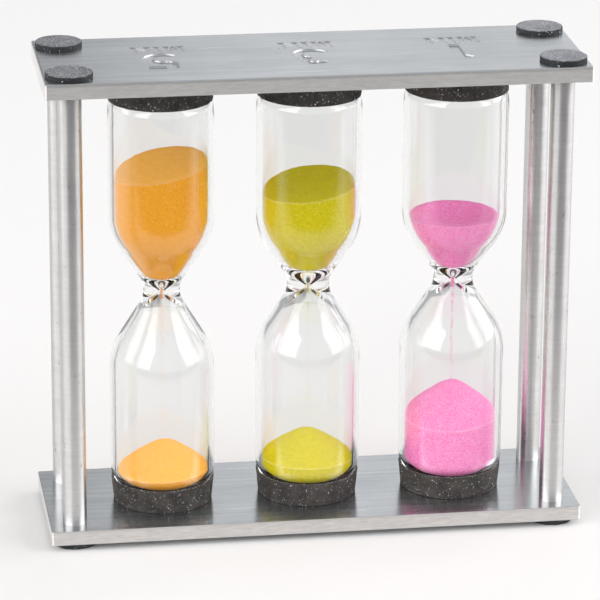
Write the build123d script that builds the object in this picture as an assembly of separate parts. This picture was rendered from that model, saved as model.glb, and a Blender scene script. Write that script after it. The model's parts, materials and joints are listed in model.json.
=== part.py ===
from build123d import *
import os

# A sand timer with three glasses in one flat frame, in millimetres.
# X runs along the plates, Y from front to rear, Z up. The origin is the centre of the
# footprint, on the surface that the four bottom pads stand on.

# Driving dimensions: frame
plate_length = 112.0
plate_width = 35.0
plate_thickness = 3.2
plate_edge_radius = 0.45
plate_gap = 93.0
post_diameter = 5.0
post_x = 50.7
post_y = 12.0
pad_diameter = 9.8
pad_thickness = 1.2
pad_edge_radius = 0.3

# Driving dimensions: screws, M3 countersunk with a hexagon socket
screw_length = 9.0
screw_shank_diameter = 2.9
screw_hole_diameter = 3.2
screw_head_diameter = 5.5
countersink_diameter = 6.0
tapped_hole_diameter = 3.0
tapped_hole_depth = 8.0
socket_across_flats = 2.0
socket_depth = 1.1

# Driving dimensions: glasses, each blown from one tube
glass_pitch = 30.9
glass_radius = 11.0
glass_wall = 1.3
glass_end_thickness = 1.4
glass_end_radius = 5.0
bore_radius = 0.55
shoulder_radius = 13.0
inner_shoulder_radius = 12.0
waist_fillet = 4.5
bowl_fillet = 4.0
funnel_fillet = 0.6

# Heights from the middle of the waist where the outline turns, up and down alike, and
# how much farther out the inside turns than the outside at the shoulders
waist_turn = 1.6
throat_height = 0.7
inner_shoulder_offset = 0.6

# Driving dimensions: collars, rubber cups that hold the rounded glass ends
collar_height = 5.2
collar_floor = 2.3
collar_rim_radius = 10.9
collar_foot_radius = 10.35
collar_edge_radius = 0.15

# Driving dimensions: engraved numerals, with the unit above each one. The walls are
# upright down to engraving_depth, and the numerals go on down with sloping walls.
engraving_depth = 0.2
numeral_slope_depth = 0.2
numeral_slope_angle = 50.0
numeral_stroke = 2.3
numeral_y = -2.3
unit_y = 6.9
unit_stroke = 0.9
unit_stem_height = 4.0
unit_letter_width = 2.9
unit_letter_gap = 2.0
unit_valley_height = -1.2
serif_length = 1.6
serif_stroke = 0.55

# One glass for each running time, blown by hand, so each has its own shape. waist is the
# radius of its neck, rise and drop are the heights of its shoulders above and below the
# neck, and bowl is the radius and height where the funnel to the bore begins.
# Sand levels are above the bottom plate's top face: surface is the level on the glass's
# axis, tilt its rise along X and Y, crater its dip round the axis, and peak the top of the
# heap, which leans off the axis and falls away by slope.
glasses = {
    "5min": {
        "x": -glass_pitch,
        "waist": 3.8,
        "rise": 12.3,
        "drop": 13.3,
        "bowl": (4.0, 3.9),
        "surface": 73.5,
        "tilt": (0.18, 0.08),
        "crater": 0.0,
        "peak": 12.7,
        "lean": (0.6, 0.6),
        "slope": 0.69,
    },
    "3min": {
        "x": 0.0,
        "waist": 4.4,
        "rise": 11.5,
        "drop": 11.6,
        "bowl": (5.0, 5.1),
        "surface": 68.3,
        "tilt": (0.13, 0.10),
        "crater": 0.0,
        "peak": 13.9,
        "lean": (0.0, 0.5),
        "slope": 0.67,
    },
    "1min": {
        "x": glass_pitch,
        "waist": 4.1,
        "rise": 11.2,
        "drop": 11.4,
        "bowl": (4.2, 4.1),
        "surface": 60.6,
        "tilt": (0.0, 0.0),
        "crater": 2.2,
        "peak": 22.8,
        "lean": (0.6, 1.8),
        "slope": 0.77,
    },
}
crown_radius = 1.8
crown_fillet = 3.0
stream_radius = 0.35

# Levels worked out from the dimensions above
plate_bottom = pad_thickness
deck = plate_bottom + plate_thickness
ceiling = deck + plate_gap
top_face = ceiling + plate_thickness
waist_height = plate_gap / 2
waist_level = deck + waist_height
glass_half = plate_gap / 2 - collar_floor
cavity_half = glass_half - glass_end_thickness
cavity_radius = glass_radius - glass_wall

post_places = {
    "front_left": (-post_x, -post_y),
    "front_right": (post_x, -post_y),
    "rear_left": (-post_x, post_y),
    "rear_right": (post_x, post_y),
}


def spin(points, radii):
    """Solid of revolution round Z. The points (radius, height) start and end on Z, and the
    corners between them are rounded to the given radii."""
    side = FilletPolyline(*points, radius=radii)
    return revolve(Plane.XZ * make_face(side + Line(points[-1], points[0])), Axis.Z)


def both_ways(lower, upper):
    """Outline from the bottom to the top, from two halves that run away from the waist."""
    return [(r, -z) for r, z in reversed(lower)] + upper


def glass_body(glass):
    """One glass filled solid, centred on its waist."""

    def half(shoulder):
        return [
            (glass["waist"], waist_turn),
            (glass_radius, shoulder),
            (glass_radius, glass_half),
            (0.0, glass_half),
        ]

    radii = [glass_end_radius, shoulder_radius, waist_fillet]
    return spin(both_ways(half(glass["drop"]), half(glass["rise"])), radii + radii[::-1])


def glass_cavity(glass):
    """The space inside one glass: two bowls joined by a funnel and a bore."""

    def half(shoulder):
        return [
            (bore_radius, throat_height),
            glass["bowl"],
            (cavity_radius, shoulder + inner_shoulder_offset),
            (cavity_radius, cavity_half),
            (0.0, cavity_half),
        ]

    radii = [glass_end_radius - glass_wall, inner_shoulder_radius, bowl_fillet, funnel_fillet]
    return spin(both_ways(half(glass["drop"]), half(glass["rise"])), radii + radii[::-1])


def upper_sand(cavity, glass):
    """Sand left in the upper bulb, from the throat up to its slanting or dished surface."""
    slope_x, slope_y = glass["tilt"]
    crater = glass["crater"]
    level = Plane(origin=(0, 0, glass["surface"] - waist_height), z_dir=(-slope_x, -slope_y, 1))
    sand = split(cavity, bisect_by=Plane((0, 0, throat_height)), keep=Keep.TOP)
    sand = split(sand, bisect_by=level, keep=Keep.BOTTOM)
    if crater > 0:
        dish_radius = (cavity_radius**2 + crater**2) / (2 * crater)
        sand -= level * Pos(0, 0, dish_radius - crater) * Sphere(dish_radius)
    return sand


def lower_sand(cavity, glass):
    """Heap in the lower bulb: the part of a wide cone with a rounded crown that is inside."""
    slope = glass["slope"]
    peak = glass["peak"] - waist_height
    base = -glass_half - crown_fillet
    reach = crown_radius + (peak - base) / slope
    cone = spin([(0, base), (reach, base), (crown_radius, peak), (0, peak)], [crown_fillet] * 2)
    return cavity & Pos(*glass["lean"], 0) * cone


def stream(glass):
    """Falling thread of sand, from the throat to the inside of the heap."""
    length = waist_height - glass["peak"] + throat_height + crown_fillet
    return Pos(0, 0, throat_height - length / 2) * Cylinder(stream_radius, length)


def collar(glass_end):
    """Bottom collar, standing on z = 0 with its cup upwards."""
    side = [(0, 0), (collar_foot_radius, 0), (collar_rim_radius, collar_height), (0, collar_height)]
    return spin(side, [collar_edge_radius, collar_edge_radius]) - glass_end


def screw():
    """Countersunk screw, head up, with the head's flat top on z = 0."""
    head_radius = screw_head_diameter / 2
    shank_radius = screw_shank_diameter / 2
    cone_height = head_radius - shank_radius
    body = Pos(0, 0, -cone_height / 2) * Cone(shank_radius, head_radius, cone_height)
    body += Pos(0, 0, -screw_length / 2) * Cylinder(shank_radius, screw_length)
    socket = extrude(RegularPolygon(socket_across_flats / 2, 6, major_radius=False), -socket_depth)
    return body - socket


def pad():
    """Foot pad, standing on z = 0 with its rounded edge up."""
    disc = Pos(0, 0, pad_thickness / 2) * Cylinder(pad_diameter / 2, pad_thickness)
    return fillet(disc.edges().group_by(Axis.Z)[-1], pad_edge_radius)


def post():
    """Round post between the plates, tapped at both ends, standing on z = 0."""
    rod = Pos(0, 0, plate_gap / 2) * Cylinder(post_diameter / 2, plate_gap)
    for end in (tapped_hole_depth / 2, plate_gap - tapped_hole_depth / 2):
        rod -= Pos(0, 0, end) * Cylinder(tapped_hole_diameter / 2, tapped_hole_depth)
    return rod


def numeral_one():
    """Strokes of the numeral 1: a flag and a stem."""
    return [Line((-1.7, 2.9), (0.8, 5.2)), Line((0.3, 4.75), (0.3, -5.9))]


def numeral_three():
    """Strokes of the numeral 3: two bowls, the lower one wider."""
    return [CenterArc((-0.2, 2.65), 2.2, 160, -235), CenterArc((-0.2, -1.9), 2.85, 75, -235)]


def numeral_five():
    """Strokes of the numeral 5: a bar, a back and a bowl."""
    bowl = CenterArc((-0.3, -1.8), 2.95, 128, -268)
    corner = (-1.9, 4.75)
    return [Line((3.1, 4.75), (-3.05, 4.75)), Line(corner, bowl @ 0), bowl]


def unit_letters():
    """The unit MIN in strokes with slab serifs, centred on its I."""
    top = unit_stem_height / 2
    inner = unit_letter_gap
    outer = unit_letter_gap + unit_letter_width
    valley = (-(inner + outer) / 2, unit_valley_height)
    letters = trace(Polyline((-outer, top), valley, (-inner, top)), unit_stroke)
    letters += trace(Line((inner, top), (outer, -top)), unit_stroke)
    for x in (-outer, -inner, 0, inner, outer):
        letters += trace(Line((x, -top), (x, top)), unit_stroke)
        for y in (-top, top):
            letters += Pos(x, y) * Rectangle(serif_length, serif_stroke)
    return letters


def plate():
    """Plate with four countersunk holes, its outer face up at z = plate_thickness."""
    blank = Pos(0, 0, plate_thickness / 2) * Box(plate_length, plate_width, plate_thickness)
    blank = fillet(blank.edges().filter_by(Axis.Z), plate_edge_radius)
    blank = fillet(blank.faces().sort_by(Axis.Z)[-1].edges(), plate_edge_radius)
    hole_radius = screw_hole_diameter / 2
    sink_radius = countersink_diameter / 2
    sink_depth = sink_radius - hole_radius
    for x, y in post_places.values():
        blank -= Pos(x, y, plate_thickness / 2) * Cylinder(hole_radius, plate_thickness)
        blank -= Pos(x, y, plate_thickness - sink_depth / 2) * Cone(hole_radius, sink_radius, sink_depth)
    return blank


def numeral_cutters(strokes):
    """Cutters for one numeral, down from z = 0: upright walls, then sloping ones."""
    for stroke in strokes:
        band = trace(stroke, numeral_stroke)
        yield extrude(band, -engraving_depth)
        slope = extrude(band, numeral_slope_depth, dir=(0, 0, -1), taper=numeral_slope_angle)
        yield Pos(0, 0, -engraving_depth) * slope


def engraving():
    """Cutters for the numerals and units, turned to be read from the rear."""
    numerals = {"5min": numeral_five(), "3min": numeral_three(), "1min": numeral_one()}
    for name, strokes in numerals.items():
        turned = Pos(glasses[name]["x"], 0, 0) * Rot(0, 0, 180)
        for cutter in numeral_cutters(strokes):
            yield turned * Pos(0, -numeral_y, 0) * cutter
        yield turned * Pos(0, -unit_y, 0) * extrude(unit_letters(), -engraving_depth)


os.makedirs("parts", exist_ok=True)
upside_down = Rot(180, 0, 0)


def save(name, shape, color):
    shape.label = name
    shape.color = Color(color)
    export_step(shape, f"parts/{name}.step")


# Frame: two plates, four posts
top_plate = Pos(0, 0, ceiling) * plate()
for cutter in engraving():
    top_plate -= Pos(0, 0, top_face) * cutter
save("top_plate", top_plate, "lightsteelblue")
save("bottom_plate", Pos(0, 0, deck) * upside_down * plate(), "lightsteelblue")

for place, (x, y) in post_places.items():
    save(f"post_{place}", Pos(x, y, deck) * post(), "gray")
    save(f"screw_top_{place}", Pos(x, y, top_face) * screw(), "silver")
    save(f"screw_bottom_{place}", Pos(x, y, plate_bottom) * upside_down * screw(), "silver")
    save(f"pad_top_{place}", Pos(x, y, top_face) * pad(), "black")
    save(f"pad_bottom_{place}", Pos(x, y, plate_bottom) * upside_down * pad(), "black")

# Glasses with their collars and sand
for name, glass in glasses.items():
    body = glass_body(glass)
    cavity = glass_cavity(glass)
    end_collar = collar(Pos(0, 0, waist_height) * body)
    heap = lower_sand(cavity, glass)
    thread = stream(glass) - heap
    waist = Pos(glass["x"], 0, waist_level)
    floor = Pos(glass["x"], 0, deck)
    roof = Pos(glass["x"], 0, ceiling)
    save(f"glass_{name}", waist * (body - cavity), "lightblue")
    save(f"collar_bottom_{name}", floor * end_collar, "black")
    save(f"collar_top_{name}", roof * upside_down * end_collar, "black")
    save(f"sand_upper_{name}", waist * upper_sand(cavity, glass), "orange")
    save(f"sand_lower_{name}", waist * heap, "orange")
    save(f"sand_stream_{name}", waist * thread, "orange")
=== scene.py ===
import json
import random
from math import atan2, cos, hypot, pi, radians, sin, tan

import bpy
import numpy as np
from mathutils import Matrix, Vector, noise


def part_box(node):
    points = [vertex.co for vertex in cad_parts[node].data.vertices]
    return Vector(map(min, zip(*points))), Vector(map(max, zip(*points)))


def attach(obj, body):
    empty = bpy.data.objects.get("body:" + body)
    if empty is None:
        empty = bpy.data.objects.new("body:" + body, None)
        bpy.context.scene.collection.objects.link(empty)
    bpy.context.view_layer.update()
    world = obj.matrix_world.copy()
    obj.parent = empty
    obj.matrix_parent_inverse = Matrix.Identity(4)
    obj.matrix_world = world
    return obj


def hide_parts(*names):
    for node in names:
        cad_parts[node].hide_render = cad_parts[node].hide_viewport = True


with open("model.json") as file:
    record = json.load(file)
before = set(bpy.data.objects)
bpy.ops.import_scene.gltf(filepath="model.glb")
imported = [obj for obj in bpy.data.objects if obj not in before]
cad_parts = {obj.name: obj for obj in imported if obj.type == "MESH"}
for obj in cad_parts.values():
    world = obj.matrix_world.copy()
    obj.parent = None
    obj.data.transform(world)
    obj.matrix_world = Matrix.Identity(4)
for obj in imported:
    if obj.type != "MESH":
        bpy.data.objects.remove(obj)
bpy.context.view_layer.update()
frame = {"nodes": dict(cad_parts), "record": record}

# The looks of a sand timer: three glasses of coloured sand in a frame of two brushed
# steel plates and four posts. Sizes here are in millimetres, and the meshes in metres.
MM = 0.001

# Glasses: the outline of the CAD glasses, drawn finely enough for clear refraction. Its
# points are kept wherever it has turned, or gone on, by more than the two limits.
GLASS_RADIUS = 11.0
GLASS_WALL = 1.3
END_THICKNESS = 1.4
END_RADIUS = 5.0
SHOULDER_FILLET = 13.0
INNER_SHOULDER_FILLET = 12.0
WAIST_FILLET = 4.5
WAIST_CORNER = 1.6
BORE_RADIUS = 0.55
THROAT = 0.7
FUNNEL_FILLET = 0.6
BOWL_FILLET = 4.0
INNER_DROP = 0.6
OUTER_SMOOTHING = 0.8
INNER_SMOOTHING = 0.35
KEPT_TURN = radians(2.0)
KEPT_REACH = 2.5
GLASS_SEGMENTS = 160

# Gap between the sand and the glass
SAND_GAP = 0.06

# Collars and pads. Edges are the radii of the corners, a wave is the depth and the length
# of the unevenness of a side, steps are the lengths between points of an outline, and the
# share is that of a pad's radius which has no waves.
COLLAR_HEIGHT = 5.2
COLLAR_FLOOR = 2.3
COLLAR_RIM = 10.9
COLLAR_FOOT = 10.35
COLLAR_EDGES = (0.2, 0.12)
COLLAR_WAVE = (0.22, 1.1)
COLLAR_STEP = 0.4
COLLAR_SEGMENTS = 160
PAD_EDGES = (0.08, 0.3)
PAD_WAVE = (0.25, 0.9)
PAD_EVEN_SHARE = 0.8
PAD_SEGMENTS = 96
PAD_RINGS = 12
EDGE_STEP = 0.05

# One entry for each glass. The waist is an outer radius, and the bowl a radius and a
# height. That height and the shoulders' rise and drop are measured from the waist, and the
# surface and the peak are levels above the bottom plate's top face. The upper sand has a
# tilt along X and Y and a crater, by its depth. The heap has a slope, the radius that its
# peak is rounded by, and a lean off the axis. The grain is the size of a falling grain, and
# the flow is the number of them in a millimetre.
GLASSES = {
    "5min": {
        "waist": 3.8, "rise": 12.3, "drop": 13.3, "bowl": (4.0, 3.9),
        "surface": 73.5, "tilt": (0.18, 0.08), "crater": 0.5,
        "peak": 12.7, "slope": 0.77, "round": 3.0, "lean": (0.6, 0.6),
        "grain": 0.13, "flow": 4,
    },
    "3min": {
        "waist": 4.4, "rise": 11.5, "drop": 11.6, "bowl": (5.0, 5.1),
        "surface": 68.3, "tilt": (0.13, 0.10), "crater": 0.5,
        "peak": 13.9, "slope": 0.71, "round": 2.6, "lean": (0.0, 0.5),
        "grain": 0.13, "flow": 4,
    },
    "1min": {
        "waist": 4.1, "rise": 11.2, "drop": 11.4, "bowl": (4.2, 4.1),
        "surface": 60.6, "tilt": (0.0, 0.0), "crater": 2.4,
        "peak": 22.8, "slope": 0.82, "round": 2.6, "lean": (0.6, 1.8),
        "grain": 0.17, "flow": 9,
    },
}

# Bodies of sand: how finely they are drawn, how wide a crater is, and the depth, length
# and seed of the waves on the surface
RIM_POINTS = 144
SIDE_RINGS = 70
TOP_RINGS = 40
FLOOR_SHARES = (0.25, 0.5, 0.75)
RIM_STEPS = 6
CRATER_RADIUS = 8.6
SURFACE_WAVE = (0.12, 1.7, 3.3)
HEAP_WAVE = (0.15, 2.1, 7.1)

# Falling sand: how far down the throat is packed and with how many grains, how strongly
# the column thins out downwards, how wide it starts and how much it widens, and the
# grains' size against their nominal one
THROAT_PACKED = 2.2
THROAT_GRAINS = 150
THINNING = 1.2
STREAM_SPREAD = 0.30
STREAM_WIDENING = 0.12
GRAIN_SHARES = (0.35, 0.55)

# About how far the posts and pads stand from the middle along X, in metres. The rubbers' painted sheen
# grows over this span towards the right
POST_REACH = 0.05

# Plates, in metres: the part that the engraving keeps to, from the middle, the depths between
# which a dark band is painted on the edge as the shade where it rolls over, and the softness of sharp
# edges
# Inside the engraving's part, the walls of the strokes are painted darker as shade
ENGRAVED_HALF = 0.0125
ENGRAVED_REACH = 0.042
ROLL_SHADE_DEPTHS = (0.00075, 0.0003)
SOFT_EDGE = 0.00025

# Camera: from the front left and a little above
CAMERA_AZIMUTH = radians(-8.609)
CAMERA_ELEVATION = radians(18.904)
CAMERA_ROLL = radians(0.393)
CAMERA_DISTANCE = 790.6
CAMERA_AIM = (-1.66, 0.0, 47.1)
CAMERA_LENS = 225.8
SENSOR = 36.0
CLIP_RANGE = (0.01, 50.0)

# Floor: half its side and where painted shade darkens it in front of the object, in metres,
# and how dark it gets there
FLOOR_HALF = 6.0
FRONT_PALE = -0.075
FRONT_DARK = -0.17
FRONT_LEVEL = 0.08

# Studio: brightness round the horizon, by degrees from -Y towards +X, and how far it
# falls between two heights, given as the sine of the elevation
STUDIO = [(-180, 0.40), (-150, 0.45), (-135, 0.55), (-115, 0.80), (-70, 0.85), (-42, 0.80), (-28, 0.75),
          (28, 0.75), (42, 0.85), (80, 1.0), (122, 1.0), (136, 0.5), (146, 0.45), (154, 0.92), (163, 0.90),
          (172.5, 0.96), (175.8, 0.50), (180, 0.40)]
STUDIO_TINT = (0.975, 0.985, 1.0, 1.0)
DIM_FROM = 0.50
DIM_TO = 0.80
DIM_LEVEL = 0.75

# Softboxes: width and height, and what they are aimed at, in metres. Each has its place
# in metres and its brightness.
SOFTBOX_SIZE = (2.4, 1.5)
SOFTBOX_AIM = (0, 0, 0.05)
SOFTBOXES = {
    "left_softbox": ((-1.52, -0.64, 0.82), 2.6),
    "right_softbox": ((1.62, -0.20, 0.82), 2.7),
}

# Light paths through the glasses
MAX_BOUNCES = 28
CLEAR_BOUNCES = 24
GLOSSY_BOUNCES = 12


# Outlines ---------------------------------------------------------------------------


def rounded(points, radii, step=0.12):
    """A polyline of (radius, height) points, with the corners between its ends rounded."""
    out = [points[0]]
    for before, corner, after, radius in zip(points, points[1:], points[2:], radii):
        b, c, a = Vector(before), Vector(corner), Vector(after)
        u, v = (b - c).normalized(), (a - c).normalized()
        half = u.angle(v) / 2
        reach = radius / tan(half)
        middle = c + (u + v).normalized() * (radius / sin(half))
        start = c + u * reach - middle
        end = c + v * reach - middle
        turn = pi - 2 * half
        if start.x * end.y - start.y * end.x < 0:
            turn = -turn
        steps = max(3, int(abs(turn) * radius / step))
        for k in range(steps + 1):
            t = turn * k / steps
            out.append((middle.x + start.x * cos(t) - start.y * sin(t),
                        middle.y + start.x * sin(t) + start.y * cos(t)))
    return out + [points[-1]]


def smoothed(points, width, step=0.1):
    """An outline with its turns spread over a width, so that its curvature has no jumps."""
    points = np.array(points)
    along = np.concatenate(([0], np.cumsum(np.hypot(*np.diff(points, axis=0).T))))
    even = np.linspace(0, along[-1], int(along[-1] / step))
    fine = np.stack([np.interp(even, along, points[:, i]) for i in (0, 1)], axis=1)
    for _ in range(int(2 * (width / step) ** 2)):
        fine[1:-1] = (fine[:-2] + 2 * fine[1:-1] + fine[2:]) / 4
    kept = [fine[0]]
    heading = None
    for here, after in zip(fine[1:], fine[2:]):
        way = atan2(*(after - here)[::-1])
        far = hypot(*(here - kept[-1]))
        if heading is None or abs(way - heading) > KEPT_TURN or far > KEPT_REACH:
            kept.append(here)
            heading = way
    return [tuple(float(c) for c in p) for p in kept + [fine[-1]]]


def glass_outline(g, half):
    """Outside of a glass, from the bottom to the top, measured from the waist."""
    r = GLASS_RADIUS
    points = [(0, -half), (r, -half), (r, -g["drop"]), (g["waist"], -WAIST_CORNER),
              (g["waist"], WAIST_CORNER), (r, g["rise"]), (r, half), (0, half)]
    turns = [END_RADIUS, SHOULDER_FILLET, WAIST_FILLET]
    return smoothed(rounded(points, turns + turns[::-1]), OUTER_SMOOTHING)


def cavity_outline(g, half, gap=0.0):
    """Inside of a glass, from the bottom to the top, drawn in by a gap."""
    r = GLASS_RADIUS - GLASS_WALL - gap
    top = half - END_THICKNESS - gap
    bore = BORE_RADIUS - gap
    bowl_radius, bowl_height = g["bowl"]
    bowl_radius -= gap
    lower = [(0, -top), (r, -top), (r, -g["drop"] - INNER_DROP),
             (bowl_radius, -bowl_height), (bore, -THROAT)]
    upper = [(bore, THROAT), (bowl_radius, bowl_height),
             (r, g["rise"] + INNER_DROP), (r, top), (0, top)]
    turns = [END_RADIUS - GLASS_WALL, INNER_SHOULDER_FILLET, BOWL_FILLET, FUNNEL_FILLET]
    return smoothed(rounded(lower + upper, turns + turns[::-1]), INNER_SMOOTHING)


# Meshes -----------------------------------------------------------------------------


def new_piece(name, vertices, faces, material, node, sharp, marks=None):
    """A mesh piece in place of a CAD node, riding on its body. marks names the vertices
    that its material treats apart."""
    mesh = bpy.data.meshes.new(name)
    mesh.from_pydata([Vector(v) * MM for v in vertices], [], faces)
    for mark, chosen in (marks or {}).items():
        values = mesh.attributes.new(mark, "FLOAT", "POINT").data
        for i in chosen:
            values[i].value = 1.0
    mesh.validate()
    mesh.shade_smooth()
    mesh.set_sharp_from_angle(angle=radians(sharp))
    mesh.materials.append(material)
    piece = bpy.data.objects.new(name, mesh)
    bpy.context.scene.collection.objects.link(piece)
    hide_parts(node)
    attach(piece, "root")


def skin(rings):
    """Faces between rings of vertex numbers. A ring at an end may be a single vertex."""
    faces = []
    for lower, upper in zip(rings, rings[1:]):
        count = max(len(lower), len(upper))
        for k in range(count):
            j = (k + 1) % count
            if len(lower) == 1:
                faces.append((lower[0], upper[j], upper[k]))
            elif len(upper) == 1:
                faces.append((lower[k], lower[j], upper[0]))
            else:
                faces.append((lower[k], lower[j], upper[j], upper[k]))
    return faces


def lathe(outlines, centre, segments, wobble=None):
    """Vertices and faces of closed shells of revolution about a vertical line.
    Each outline runs from axis to axis, with its outside on the right hand going up."""
    vertices, faces = [], []
    for outline in outlines:
        rings = []
        for r, z in outline:
            if r < 1e-6:
                rings.append([len(vertices)])
                vertices.append((centre[0], centre[1], centre[2] + z))
                continue
            rings.append(list(range(len(vertices), len(vertices) + segments)))
            for k in range(segments):
                a = 2 * pi * k / segments
                x, y, h = r * cos(a), r * sin(a), z
                if wobble:
                    x, y, h = wobble(x, y, h)
                vertices.append((centre[0] + x, centre[1] + y, centre[2] + h))
        faces += skin(rings)
    return vertices, faces


def polar_solid(rings):
    """Vertices and faces of a closed solid from rings of points, with a single point at
    each end."""
    vertices, numbers = [], []
    for ring in rings:
        numbers.append(list(range(len(vertices), len(vertices) + len(ring))))
        vertices += ring
    return vertices, skin(numbers)


def sand_marks(rings, number):
    """The rim of a body of sand, which is one of its rings, and the open surface inside it."""
    first = sum(len(ring) for ring in rings[:number])
    after = first + len(rings[number])
    return {"rim": range(first, after), "open_air": range(after, sum(len(ring) for ring in rings))}


def waviness(x, y, z, length, seed):
    """Smooth noise at a point, in waves of a given length."""
    return noise.noise(Vector((x / length + seed, y / length, z / length)))


def centre_of(node):
    """The middle of a node's box in X and Y."""
    low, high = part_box(node)
    return (low.x + high.x) / 2 / MM, (low.y + high.y) / 2 / MM


# Materials --------------------------------------------------------------------------


class Nodes:
    """A node tree, with short calls for the nodes used here."""

    def __init__(self, tree, coords):
        self.tree = tree
        tree.nodes.clear()
        self.coords = tree.nodes.new("ShaderNodeTexCoord").outputs[coords]

    def add(self, kind, inputs=None, **settings):
        made = self.tree.nodes.new(kind)
        for key, value in settings.items():
            setattr(made, key, value)
        for key, value in (inputs or {}).items():
            self.put(made.inputs[key], value)
        return made

    def put(self, socket, value):
        if isinstance(value, bpy.types.NodeSocket):
            self.tree.links.new(value, socket)
        else:
            socket.default_value = value

    def split(self, vector):
        return self.add("ShaderNodeSeparateXYZ", {"Vector": vector}).outputs

    def ramp(self, value, low, high, to_low=0.0, to_high=1.0, interpolation="LINEAR"):
        return self.add("ShaderNodeMapRange", {"Value": value, "From Min": low, "From Max": high,
                                               "To Min": to_low, "To Max": to_high},
                        interpolation_type=interpolation).outputs[0]

    def math(self, operation, a, b=0.0):
        return self.add("ShaderNodeMath", {0: a, 1: b}, operation=operation).outputs[0]


class Shader(Nodes):
    """A material's node tree."""

    def __init__(self, name):
        self.material = bpy.data.materials.new(name)
        self.material.use_nodes = True
        super().__init__(self.material.node_tree, "Object")
        self.output = self.tree.nodes.new("ShaderNodeOutputMaterial")

    def normal(self):
        return self.add("ShaderNodeNewGeometry").outputs["Normal"]

    def mark(self, name):
        """One at the vertices with a mark, and zero at the others."""
        return self.add("ShaderNodeAttribute", attribute_name=name).outputs["Fac"]

    def scaled(self, scale):
        return self.add("ShaderNodeMapping", {"Vector": self.coords, "Scale": scale}).outputs[0]

    def noise(self, scale, detail=2.0, stretch=(1, 1, 1), rough=0.5, distortion=0.0):
        where = self.scaled(tuple(scale * s for s in stretch))
        return self.add("ShaderNodeTexNoise", {"Vector": where, "Scale": 1.0, "Detail": detail,
                                               "Roughness": rough,
                                               "Distortion": distortion}).outputs["Fac"]

    def cells(self, scale):
        """The distance to the middle of a cell, and three random numbers for each cell."""
        made = self.add("ShaderNodeTexVoronoi", {"Vector": self.coords, "Scale": scale}).outputs
        picks = self.add("ShaderNodeSeparateColor", {"Color": made["Color"]}).outputs
        return made["Distance"], picks

    # The mix node takes numbers at its sockets 2 and 3, and colours at 6 and 7

    def mix(self, factor, a, b):
        """A mix of two colours."""
        a, b = ((*c, 1.0) if isinstance(c, tuple) else c for c in (a, b))
        return self.add("ShaderNodeMix", {"Factor": factor, 6: a, 7: b}, data_type="RGBA").outputs[2]

    def blend(self, factor, a, b):
        """A mix of two numbers."""
        return self.add("ShaderNodeMix", {"Factor": factor, 2: a, 3: b}, data_type="FLOAT").outputs[0]

    def bump(self, height, distance, strength, **under):
        inputs = {"Height": height, "Distance": distance, "Strength": strength, **under}
        return self.add("ShaderNodeBump", inputs).outputs[0]

    def finish(self, surface):
        self.tree.links.new(surface, self.output.inputs["Surface"])
        return self.material


def across(shader, direction):
    """The direction square to a brushing direction and to the surface, along which
    highlights spread."""
    return shader.add("ShaderNodeVectorMath", {0: shader.normal(), 1: direction},
                      operation="CROSS_PRODUCT").outputs[0]


def brushed_steel(name, edge_dark, edge_pale, top, roll):
    """Plates: satin steel brushed along X, with broad streaks, fine hair lines and a few
    short scratches. The cut edges are rougher and paler than the faces, with tones set for
    each plate, paler on the top plate and darker on the bottom one, as painted light and
    shade. Below the top they are painted darker, as the shade where they roll over, by the
    share that roll gives."""
    s = Shader(name)
    x, y, z = s.split(s.coords)
    lines = s.noise(1.0, 3.0, (25, 5200, 5200), 0.6)
    streaks = s.noise(1.0, 3.0, (14, 900, 900), 0.6)
    blotches = s.noise(90, 4.0, (0.5, 1, 1), 0.6)
    tone = s.math("ADD", s.ramp(lines, 0.3, 0.7, -0.10, 0.10), s.ramp(streaks, 0.3, 0.7, -0.20, 0.20))
    face = s.mix(s.ramp(s.math("ADD", tone, blotches), 0.2, 0.8),
                 (0.475, 0.495, 0.515), (0.65, 0.668, 0.685))
    scratches = s.noise(1.0, 1.0, (60, 700, 700), distortion=0.6)
    face = s.mix(s.math("MULTIPLY", s.ramp(scratches, 0.70, 0.74), 0.35), face, (0.85, 0.86, 0.87))

    # Cut edges, with a painted dark band as the shade where they roll over
    saw = s.noise(1.0, 3.0, (400, 2600, 2600), 0.65)
    edge = s.mix(s.ramp(saw, 0.3, 0.7), edge_dark, edge_pale)
    start, end = (top - depth for depth in ROLL_SHADE_DEPTHS)
    edge = s.mix(s.math("MULTIPLY", s.ramp(z, start, end), roll), edge, (0.42, 0.41, 0.405))

    # Steep faces are cut edges, but the engraving's walls are painted a darker mid tone, as painted shade
    # in the strokes
    flat = s.math("ABSOLUTE", s.split(s.normal())[2])
    steep = s.ramp(flat, 0.75, 0.35)
    inside = s.math("MULTIPLY",
                    s.ramp(s.math("ABSOLUTE", y), ENGRAVED_HALF, ENGRAVED_HALF + MM, 1.0, 0.0),
                    s.ramp(s.math("ABSOLUTE", x), ENGRAVED_REACH, ENGRAVED_REACH + MM, 1.0, 0.0))
    engraving_shade = s.math("MULTIPLY", inside, s.ramp(flat, 0.99, 0.9))
    edge = s.mix(engraving_shade, edge, (0.62, 0.62, 0.63))
    face = s.mix(engraving_shade, face, (0.60, 0.61, 0.62))

    soft = s.add("ShaderNodeBevel", {"Radius": SOFT_EDGE}, samples=6).outputs[0]
    bsdf = s.add("ShaderNodeBsdfPrincipled", {
        "Base Color": s.mix(steep, face, edge), "Metallic": 1.0, "Anisotropic": 0.85,
        "Roughness": s.blend(steep, s.ramp(streaks, 0.3, 0.7, 0.2, 0.26), 0.5),
        "Normal": s.bump(s.blend(steep, lines, saw), 0.00002, 0.35, Normal=soft),
        "Tangent": across(s, (1.0, 0.0, 0.05))})
    return s.finish(bsdf.outputs[0])


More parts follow.
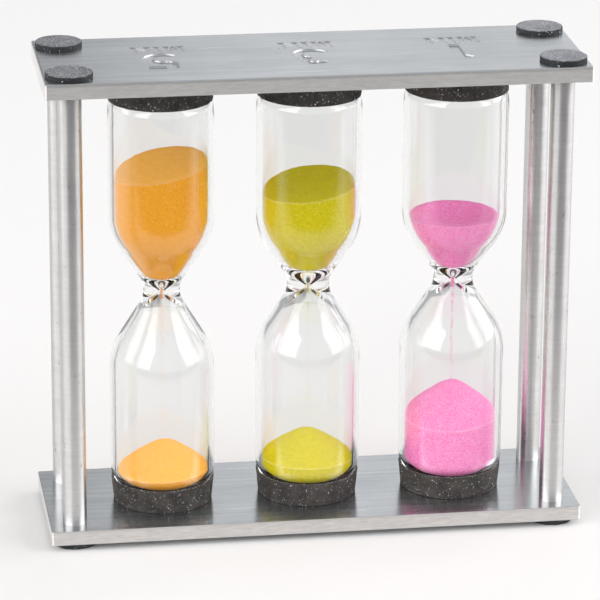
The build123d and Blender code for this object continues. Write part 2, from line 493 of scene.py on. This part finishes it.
def turned_steel(name):
    """Posts and screws: satin steel turned round the axis, with fine rings, smudges, a few
    pits and small dents."""
    s = Shader(name)
    rings = s.noise(1.0, 3.0, (150, 150, 5200), 0.6)
    bands = s.noise(1.0, 2.0, (60, 60, 1800))
    smudges = s.noise(1.0, 4.0, (500, 500, 90), 0.6)
    pits = s.ramp(s.cells(420)[0], 0.03, 0.06)
    patches = s.ramp(s.noise(1.0, 3.0, (420, 420, 150), 0.6), 0.60, 0.68)
    chips = s.ramp(s.noise(1.0, 3.0, (2600, 2600, 1100), 0.7), 0.52, 0.6)
    dents = s.math("MULTIPLY", patches, chips)
    tone = s.math("ADD", s.math("MULTIPLY", bands, 0.5), s.math("MULTIPLY", smudges, 0.5))
    satin = s.mix(s.ramp(tone, 0.35, 0.65), (0.585, 0.575, 0.57), (0.66, 0.65, 0.645))
    color = s.mix(pits, (0.25, 0.24, 0.23), satin)
    color = s.mix(s.math("MULTIPLY", dents, 0.7), color, (0.27, 0.26, 0.25))
    bsdf = s.add("ShaderNodeBsdfPrincipled", {
        "Base Color": color, "Metallic": 1.0, "Anisotropic": 0.8,
        "Roughness": s.ramp(tone, 0.35, 0.65, 0.34, 0.4), "Normal": s.bump(rings, 0.00002, 0.17),
        "Tangent": s.add("ShaderNodeCombineXYZ", {"X": 0.0, "Y": 0.0, "Z": 1.0}).outputs[0]})
    return s.finish(bsdf.outputs[0])


def glitter_rubber(name, base, worn, dust_and_sheen, speck_share):
    """Dark foam rubber with fine glitter in it, rubbed in places. Its top is paler, partly
    dust and partly painted sheen, and paler still towards the right as painted sheen. The
    glitter is painted as bright glints, more of them on top, where they catch the light."""
    s = Shader(name)
    rubbed = s.noise(300, 5.0, rough=0.65)
    grain = s.noise(3800, 2.0, rough=0.7)
    upward = s.split(s.normal())[2]
    rightward = s.split(s.coords)[0]
    patches = s.math("MULTIPLY", s.ramp(rubbed, 0.35, 0.6, 0.6, 1.0), s.ramp(grain, 0.38, 0.6, 0.45, 1.0))
    # Paler on top, partly dust and partly painted sheen, and paler towards the right as painted sheen
    top_dust_and_sheen = s.math("MULTIPLY", s.ramp(upward, 0.5, 0.95), patches)
    dust_and_sheen_film = s.mix(s.ramp(rightward, -POST_REACH, POST_REACH), dust_and_sheen, tuple(1.75 * c for c in dust_and_sheen))
    # Pale grains, more of them on top: dust and painted sheen
    pale = s.math("MULTIPLY", s.ramp(grain, 0.4, 0.75, 0.0, 0.5), s.ramp(upward, 0.5, 0.95, 0.15, 1.0))
    color = s.mix(s.ramp(rubbed, 0.4, 0.66), base, worn)
    color = s.mix(top_dust_and_sheen, color, dust_and_sheen_film)
    color = s.mix(pale, color, tuple(1.6 * c for c in dust_and_sheen))

    # Glitter painted as bright glints, more of them on top where they catch the light
    glitter_glints = []
    for scale in (2500, 4600):
        distance, picks = s.cells(scale)
        fewest = s.ramp(upward, 0.5, 0.95, 1 - speck_share, 1 - 4 * speck_share)
        chosen = s.math("GREATER_THAN", picks[0], fewest)
        dot = s.ramp(distance, 0.22, 0.4, 1.0, 0.0)
        brightness = s.ramp(picks[1], 0.2, 0.9, 0.15, 1.0)
        glitter_glints.append(s.math("MULTIPLY", s.math("MULTIPLY", chosen, dot), brightness))
    glitter_glint = s.math("MAXIMUM", *glitter_glints)
    color = s.mix(glitter_glint, color, s.mix(picks[2], (1.0, 0.97, 0.93), (0.55, 0.60, 0.70)))
    height = s.math("ADD", grain, s.math("MULTIPLY", glitter_glint, 0.3))
    bsdf = s.add("ShaderNodeBsdfPrincipled", {
        "Base Color": color, "Roughness": s.ramp(glitter_glint, 0.0, 1.0, 0.72, 0.3),
        "Normal": s.bump(height, 0.00012, 0.7)})
    return s.finish(bsdf.outputs[0])


def clear_glass():
    """Clear glass with a faint grey-green cast. Light shines straight through to the sand."""
    s = Shader("clear_glass")
    ripple = s.noise(90, 1.0, (1, 1, 0.25))
    glass = s.add("ShaderNodeBsdfPrincipled", {
        "Base Color": (0.94, 0.945, 0.94, 1.0), "Roughness": 0.0, "IOR": 1.5,
        "Transmission Weight": 1.0, "Normal": s.bump(ripple, 0.0001, 0.08)})
    clear = s.add("ShaderNodeBsdfTransparent", {"Color": (0.985, 0.99, 0.985, 1.0)})
    path = s.add("ShaderNodeLightPath").outputs
    lighting = s.math("MAXIMUM", path["Is Shadow Ray"], path["Is Diffuse Ray"])
    both = s.add("ShaderNodeMixShader", {0: lighting, 1: glass.outputs[0], 2: clear.outputs[0]})
    return s.finish(both.outputs[0])


def dry_sand(name, dark, light, grain, contrast, painted_glint_share, scatter):
    """Coloured sand: grains of slightly different tone, a few of them painted pale as glints,
    and a paler line where the surface meets the glass. A weak glow of the open surface
    stands for the light that has gone through the grains."""
    s = Shader(name)
    distance, picks = s.cells(1 / (grain * MM))
    clumps = s.noise(0.4 / (grain * MM), 3.0, rough=0.65)
    tone = s.math("ADD", s.math("MULTIPLY", picks[0], contrast),
                  s.math("MULTIPLY", s.ramp(clumps, 0.25, 0.75), 1 - contrast))
    pale = tuple(0.5 + 0.5 * c for c in light)
    # A few grains painted pale, as painted glints
    painted_glint = s.math("MULTIPLY", s.math("GREATER_THAN", picks[1], 1 - painted_glint_share), 0.5)
    color = s.mix(s.ramp(tone, 0.15, 0.85), dark, light)
    color = s.mix(painted_glint, color, pale)
    # A paler line along the rim
    color = s.mix(s.math("MULTIPLY", s.mark("rim"), 0.3), color, pale)
    bsdf = s.add("ShaderNodeBsdfPrincipled", {
        "Base Color": color, "Roughness": 0.8, "Specular IOR Level": 0.2,
        "Emission Color": (*scatter, 1.0), "Emission Strength": s.mark("open_air"),
        "Normal": s.bump(distance, grain * 0.4 * MM, 0.35)})
    return s.finish(bsdf.outputs[0])


# The object -------------------------------------------------------------------------

slots = {part["node"]: part["material_slot"] for part in frame["record"]["subparts"]}
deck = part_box("bottom_plate")[1].z / MM
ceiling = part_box("top_plate")[0].z / MM
waist_level = (deck + ceiling) / 2
glass_half = (ceiling - deck) / 2 - COLLAR_FLOOR

# Both plates are the same steel: their edge tones and shares of painted roll shade are set for each plate,
# as painted light and shade
plate_metals = {
    "top_plate": brushed_steel("top_plate_steel", (0.86, 0.83, 0.80), (1.0, 0.985, 0.965),
                               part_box("top_plate")[1].z, 0.6),
    "bottom_plate": brushed_steel("bottom_plate_steel", (0.74, 0.715, 0.69), (0.90, 0.875, 0.85),
                                  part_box("bottom_plate")[1].z, 0.15),
}
post_metal = turned_steel("post_steel")
screw_metal = turned_steel("screw_steel")
collar_rubber = glitter_rubber("collar_rubber", (0.026, 0.0215, 0.019), (0.070, 0.059, 0.052),
                               (0.045, 0.041, 0.040), 0.10)
pad_rubber = glitter_rubber("pad_rubber", (0.008, 0.008, 0.009), (0.016, 0.016, 0.018),
                            (0.19, 0.195, 0.21), 0.08)
glass_material = clear_glass()
SANDS = {
    "5min": dry_sand("orange_sand", (0.97, 0.32, 0.006), (1.0, 0.49, 0.038), 0.16, 0.5, 0.008,
                     (0.18, 0.125, 0.05)),
    "3min": dry_sand("lime_sand", (0.58, 0.48, 0.0003), (0.81, 0.68, 0.005), 0.16, 0.5, 0.008,
                     (0.025, 0.02, 0.001)),
    "1min": dry_sand("pink_sand", (0.98, 0.15, 0.44), (1.0, 0.34, 0.70), 0.17, 0.75, 0.05,
                     (0.02, 0.013, 0.017)),
}


def dress_steel():
    """Put the metals on the plates, posts and screws, whose CAD meshes are kept."""
    for node, thing in frame["nodes"].items():
        metal = {"plate_steel": plate_metals.get(node), "post_steel": post_metal,
                 "screw_steel": screw_metal}.get(slots[node])
        if metal:
            thing.data.materials.clear()
            thing.data.materials.append(metal)


def make_glass(key, g):
    """A blown glass: its outer shell, and the sealed hollow inside it."""
    node = f"glass_{key}"
    x, y = centre_of(node)
    outside = glass_outline(g, glass_half)
    inside = cavity_outline(g, glass_half)
    shells = lathe([outside, inside[::-1]], (x, y, waist_level), GLASS_SEGMENTS)
    new_piece(f"blown_{node}", *shells, glass_material, node, sharp=60)


def sand_profile(g):
    """Radius of the sand as a function of height above the waist."""
    outline = cavity_outline(g, glass_half, SAND_GAP)
    heights = np.array([z for _, z in outline])
    radii = np.array([r for r, _ in outline])
    return lambda z: float(np.interp(z, heights, radii))


def sand_top(x, y, level, g):
    """Height of the upper sand's surface at a point."""
    depth, length, seed = SURFACE_WAVE
    dip = g["crater"] * max(0.0, 1 - (hypot(x, y) / CRATER_RADIUS) ** 2)
    slant = g["tilt"][0] * x + g["tilt"][1] * y
    return level + slant - dip + depth * waviness(x, y, 0, length, seed)


def heap_top(x, y, peak, g):
    """Height of the heap at a point: a cone with a rounded peak, a little off the axis."""
    depth, length, seed = HEAP_WAVE
    far = hypot(x - g["lean"][0], y - g["lean"][1])
    fall = g["slope"] * (hypot(far, g["round"]) - g["round"])
    return peak - fall + depth * waviness(x, y, 0, length, seed)


def make_upper_sand(key, g):
    """The sand that is left in the upper bulb, from the throat to its open surface."""
    node = f"sand_upper_{key}"
    x0, y0 = centre_of(f"glass_{key}")
    level = g["surface"] + deck - waist_level
    radius_at = sand_profile(g)
    angles = [2 * pi * k / RIM_POINTS for k in range(RIM_POINTS)]
    wide = GLASS_RADIUS - GLASS_WALL - SAND_GAP
    rim = [sand_top(wide * cos(a), wide * sin(a), level, g) for a in angles]
    rings = [[(x0, y0, waist_level + THROAT)]]
    for j in range(1, SIDE_RINGS + 1):
        ring = []
        for a, top in zip(angles, rim):
            z = THROAT + (top - THROAT) * j / SIDE_RINGS
            r = radius_at(z)
            ring.append((x0 + r * cos(a), y0 + r * sin(a), waist_level + z))
        rings.append(ring)
    for j in range(1, TOP_RINGS):
        share = 1 - j / TOP_RINGS
        ring = []
        for a, top in zip(angles, rim):
            r = radius_at(top) * share
            x, y = r * cos(a), r * sin(a)
            z = sand_top(x, y, level, g)
            ring.append((x0 + x, y0 + y, waist_level + z))
        rings.append(ring)
    rings.append([(x0, y0, waist_level + sand_top(0, 0, level, g))])
    new_piece(f"loose_{node}", *polar_solid(rings), SANDS[key], node, sharp=50,
              marks=sand_marks(rings, SIDE_RINGS))


def make_lower_sand(key, g):
    """The heap in the lower bulb, from the glass's flat floor to its peak."""
    node = f"sand_lower_{key}"
    x0, y0 = centre_of(f"glass_{key}")
    peak = g["peak"] + deck - waist_level
    radius_at = sand_profile(g)
    floor = -(glass_half - END_THICKNESS - SAND_GAP)
    angles = [2 * pi * k / RIM_POINTS for k in range(RIM_POINTS)]
    rim = []
    for a in angles:
        z = 0.0
        r = GLASS_RADIUS - GLASS_WALL - SAND_GAP
        for _ in range(RIM_STEPS):
            z = heap_top(r * cos(a), r * sin(a), peak, g)
            r = radius_at(z)
        rim.append((r, z))
    rings = [[(x0, y0, waist_level + floor)]]
    flat = GLASS_RADIUS - END_RADIUS - SAND_GAP
    for share in FLOOR_SHARES:
        rings.append([(x0 + flat * share * cos(a), y0 + flat * share * sin(a), waist_level + floor)
                      for a in angles])
    for j in range(SIDE_RINGS + 1):
        t = (j / SIDE_RINGS) ** 2
        ring = []
        for a, (_, top) in zip(angles, rim):
            z = floor + (top - floor) * t
            r = radius_at(z) if j else flat
            ring.append((x0 + r * cos(a), y0 + r * sin(a), waist_level + z))
        rings.append(ring)
    for j in range(1, TOP_RINGS):
        share = 1 - j / TOP_RINGS
        ring = []
        for a, (wide, _) in zip(angles, rim):
            x, y = wide * share * cos(a), wide * share * sin(a)
            ring.append((x0 + x, y0 + y, waist_level + heap_top(x, y, peak, g)))
        rings.append(ring)
    rings.append([(x0, y0, waist_level + heap_top(0, 0, peak, g))])
    new_piece(f"loose_{node}", *polar_solid(rings), SANDS[key], node, sharp=50,
              marks=sand_marks(rings, len(rings) - 1 - TOP_RINGS))


# A rough grain: twelve corners on a unit sphere, and the faces between them
ICO = [(0, 0, -1), (0.72, -0.53, -0.45), (-0.28, -0.85, -0.45), (-0.89, 0, -0.45), (-0.28, 0.85, -0.45),
       (0.72, 0.53, -0.45), (0.28, -0.85, 0.45), (-0.72, -0.53, 0.45), (-0.72, 0.53, 0.45),
       (0.28, 0.85, 0.45), (0.89, 0, 0.45), (0, 0, 1)]
ICO_FACES = [(0, 1, 2), (1, 0, 5), (0, 2, 3), (0, 3, 4), (0, 4, 5), (1, 5, 10), (2, 1, 6), (3, 2, 7),
             (4, 3, 8), (5, 4, 9), (1, 10, 6), (2, 6, 7), (3, 7, 8), (4, 8, 9), (5, 9, 10),
             (6, 10, 11), (7, 6, 11), (8, 7, 11), (9, 8, 11), (10, 9, 11)]


def make_stream(key, g):
    """The falling thread: grains packed in the throat, then a loose narrow column."""
    node = f"sand_stream_{key}"
    x0, y0 = centre_of(node)
    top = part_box(node)[1].z / MM
    length = top - deck - g["peak"]
    draw = random.Random(node)
    falls = [draw.uniform(0, THROAT_PACKED / length) for _ in range(THROAT_GRAINS)]
    falls += [draw.random() ** THINNING for _ in range(int(length * g["flow"]))]
    vertices, faces = [], []
    for fall in falls:
        spread = STREAM_SPREAD + STREAM_WIDENING * fall
        size = g["grain"] * draw.uniform(*GRAIN_SHARES)
        a = draw.uniform(0, 2 * pi)
        r = spread * draw.random() ** 0.5
        centre = (x0 + r * cos(a), y0 + r * sin(a), top - size - (length - 2 * size) * fall)
        first = len(vertices)
        vertices += [tuple(c + size * p for c, p in zip(centre, corner)) for corner in ICO]
        faces += [tuple(first + i for i in face) for face in ICO_FACES]
    new_piece(f"falling_{node}", vertices, faces, SANDS[key], node, sharp=60)


def uneven(depth, length, seed):
    """A small wavy offset inwards, for soft moulded or die-cut edges."""
    def move(x, y, z):
        r = hypot(x, y)
        push = 1 - depth * abs(waviness(x, y, z, length, seed)) / max(r, 1e-6)
        return x * push, y * push, z
    return move


def seed_of(name):
    """A number that differs from name to name."""
    return sum(ord(c) * (i + 1) for i, c in enumerate(name)) % 97 / 3.0


def make_rubber(prefix, node, upward, outline, material, segments, wave, wavy_from):
    """A turned rubber piece, uneven beyond a radius, that stands on the lower end of its
    node's box or hangs from the upper one."""
    x, y = centre_of(node)
    low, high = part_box(node)
    base = (low.z if upward else high.z) / MM
    lift = 1 if upward else -1
    wobble = uneven(*wave, seed_of(node))
    vertices, faces = lathe([outline], (0, 0, 0), segments,
                            lambda a, b, c: wobble(a, b, c) if hypot(a, b) > wavy_from else (a, b, c))
    vertices = [(x + a, y + lift * b, base + lift * c) for a, b, c in vertices]
    new_piece(f"{prefix}_{node}", vertices, faces, material, node, sharp=40)


def make_collar(node, upward):
    """A collar with a cup that fits the glass's rounded end."""
    seat = rounded([(0, 0), (GLASS_RADIUS, 0), (GLASS_RADIUS, 2 * END_RADIUS)], [END_RADIUS])
    cup = [(r, z + COLLAR_FLOOR) for r, z in seat if z + COLLAR_FLOOR < COLLAR_HEIGHT - EDGE_STEP]
    inner = float(np.interp(COLLAR_HEIGHT, [z + COLLAR_FLOOR for _, z in seat], [r for r, _ in seat]))
    side = rounded([(0, 0), (COLLAR_FOOT, 0), (COLLAR_RIM, COLLAR_HEIGHT), (inner, COLLAR_HEIGHT)],
                   COLLAR_EDGES, EDGE_STEP)
    walls = []
    for (r1, z1), (r2, z2) in zip(side, side[1:]):
        pieces = max(1, int(hypot(r2 - r1, z2 - z1) / COLLAR_STEP))
        walls += [(r1 + (r2 - r1) * k / pieces, z1 + (z2 - z1) * k / pieces) for k in range(pieces)]
    make_rubber("cup", node, upward, walls + [side[-1]] + cup[::-1], collar_rubber,
                segments=COLLAR_SEGMENTS, wave=COLLAR_WAVE, wavy_from=inner + 2 * EDGE_STEP)


def make_pad(node, upward):
    """A round pad with soft edges."""
    low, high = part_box(node)
    thick = (high.z - low.z) / MM
    radius = (high.x - low.x) / 2 / MM
    outline = rounded([(0, 0), (radius, 0), (radius, thick), (0, thick)], PAD_EDGES, EDGE_STEP)
    flat = [(radius * k / PAD_RINGS, thick) for k in range(PAD_RINGS - 1, 0, -1)]
    flat = [p for p in flat if p[0] < radius - 2 * PAD_EDGES[1]]
    make_rubber("foam", node, upward, outline[:-1] + flat + [outline[-1]], pad_rubber,
                segments=PAD_SEGMENTS, wave=PAD_WAVE, wavy_from=radius * PAD_EVEN_SHARE)


dress_steel()
for key, g in GLASSES.items():
    make_glass(key, g)
    make_upper_sand(key, g)
    make_lower_sand(key, g)
    make_stream(key, g)
    make_collar(f"collar_bottom_{key}", True)
    make_collar(f"collar_top_{key}", False)
for node in frame["nodes"]:
    if node.startswith("pad_"):
        make_pad(node, node.startswith("pad_top"))


# Studio -----------------------------------------------------------------------------


def make_floor():
    """A pale table top with painted shade that darkens it towards the front, out of the camera's sight."""
    corners = [(x * FLOOR_HALF, y * FLOOR_HALF, 0) for x, y in ((-1, -1), (1, -1), (1, 1), (-1, 1))]
    mesh = bpy.data.meshes.new("floor")
    mesh.from_pydata(corners, [], [(0, 1, 2, 3)])
    floor = bpy.data.objects.new("floor", mesh)
    bpy.context.scene.collection.objects.link(floor)
    s = Shader("paper_floor")
    # Painted shade towards the front
    near = s.ramp(s.split(s.coords)[1], FRONT_DARK, FRONT_PALE, FRONT_LEVEL, 1.0, "SMOOTHSTEP")
    grain = s.ramp(s.noise(900, 2.0), 0.3, 0.7, 0.99, 1.0)
    tone = s.mix(s.math("MULTIPLY", near, grain), (0.0, 0.0, 0.0), (0.82, 0.807, 0.80))
    paper = s.add("ShaderNodeBsdfPrincipled", {
        "Base Color": tone, "Roughness": 0.9, "Specular IOR Level": 0.0})
    mesh.materials.append(s.finish(paper.outputs[0]))


def make_world():
    """A pale studio that is brightest at its sides, with dark and bright strips behind the
    object for the steel and the glasses to show, and dimmer overhead."""
    world = bpy.data.worlds.new("studio")
    bpy.context.scene.world = world
    world.use_nodes = True
    w = Nodes(world.node_tree, "Generated")
    x, y, z = w.split(w.coords)
    around = w.math("ARCTAN2", x, w.math("MULTIPLY", y, -1.0))
    ring = w.add("ShaderNodeValToRGB", {"Fac": w.ramp(around, -pi, pi)})
    stops = ring.color_ramp.elements
    for angle, _ in STUDIO[1:-1]:
        stops.new((angle + 180) / 360)
    for stop, (_, level) in zip(stops, STUDIO):
        stop.color = (level, level, level, 1.0)
    dim = w.ramp(z, DIM_FROM, DIM_TO, 1.0, DIM_LEVEL, "SMOOTHSTEP")
    back = w.add("ShaderNodeBackground", {
        "Color": STUDIO_TINT, "Strength": w.math("MULTIPLY", ring.outputs["Color"], dim)})
    w.add("ShaderNodeOutputWorld", {"Surface": back.outputs[0]})


def make_softbox(name, place, radiance):
    """An area lamp of a given brightness, pointed at the object."""
    width, height = SOFTBOX_SIZE
    lamp = bpy.data.lights.new(name, "AREA")
    lamp.shape = "RECTANGLE"
    lamp.size = width
    lamp.size_y = height
    lamp.energy = radiance * pi * width * height
    box = bpy.data.objects.new(name, lamp)
    bpy.context.scene.collection.objects.link(box)
    box.location = place
    box.rotation_euler = (Vector(SOFTBOX_AIM) - Vector(place)).to_track_quat("-Z", "Y").to_euler()


def make_camera():
    """The camera, turned by a slight roll."""
    data = bpy.data.cameras.new("camera")
    data.sensor_width = SENSOR
    data.lens = CAMERA_LENS
    camera = bpy.data.objects.new("camera", data)
    bpy.context.scene.collection.objects.link(camera)
    az, el, roll = CAMERA_AZIMUTH, CAMERA_ELEVATION, CAMERA_ROLL
    back = Vector((sin(az) * cos(el), -cos(az) * cos(el), sin(el)))
    right = Vector((cos(az), sin(az), 0))
    up = back.cross(right)
    x_axis = right * cos(roll) + up * sin(roll)
    y_axis = up * cos(roll) - right * sin(roll)
    turn = Matrix((x_axis, y_axis, back)).transposed().to_4x4()
    camera.matrix_world = Matrix.Translation((Vector(CAMERA_AIM) + back * CAMERA_DISTANCE) * MM) @ turn
    data.clip_start, data.clip_end = CLIP_RANGE
    bpy.context.scene.camera = camera


make_floor()
make_world()
for name, (place, radiance) in SOFTBOXES.items():
    make_softbox(name, place, radiance)
make_camera()
scene = bpy.context.scene
scene.view_settings.view_transform = "Standard"
scene.cycles.max_bounces = MAX_BOUNCES
scene.cycles.transmission_bounces = CLEAR_BOUNCES
scene.cycles.glossy_bounces = GLOSSY_BOUNCES
scene.cycles.transparent_max_bounces = CLEAR_BOUNCES
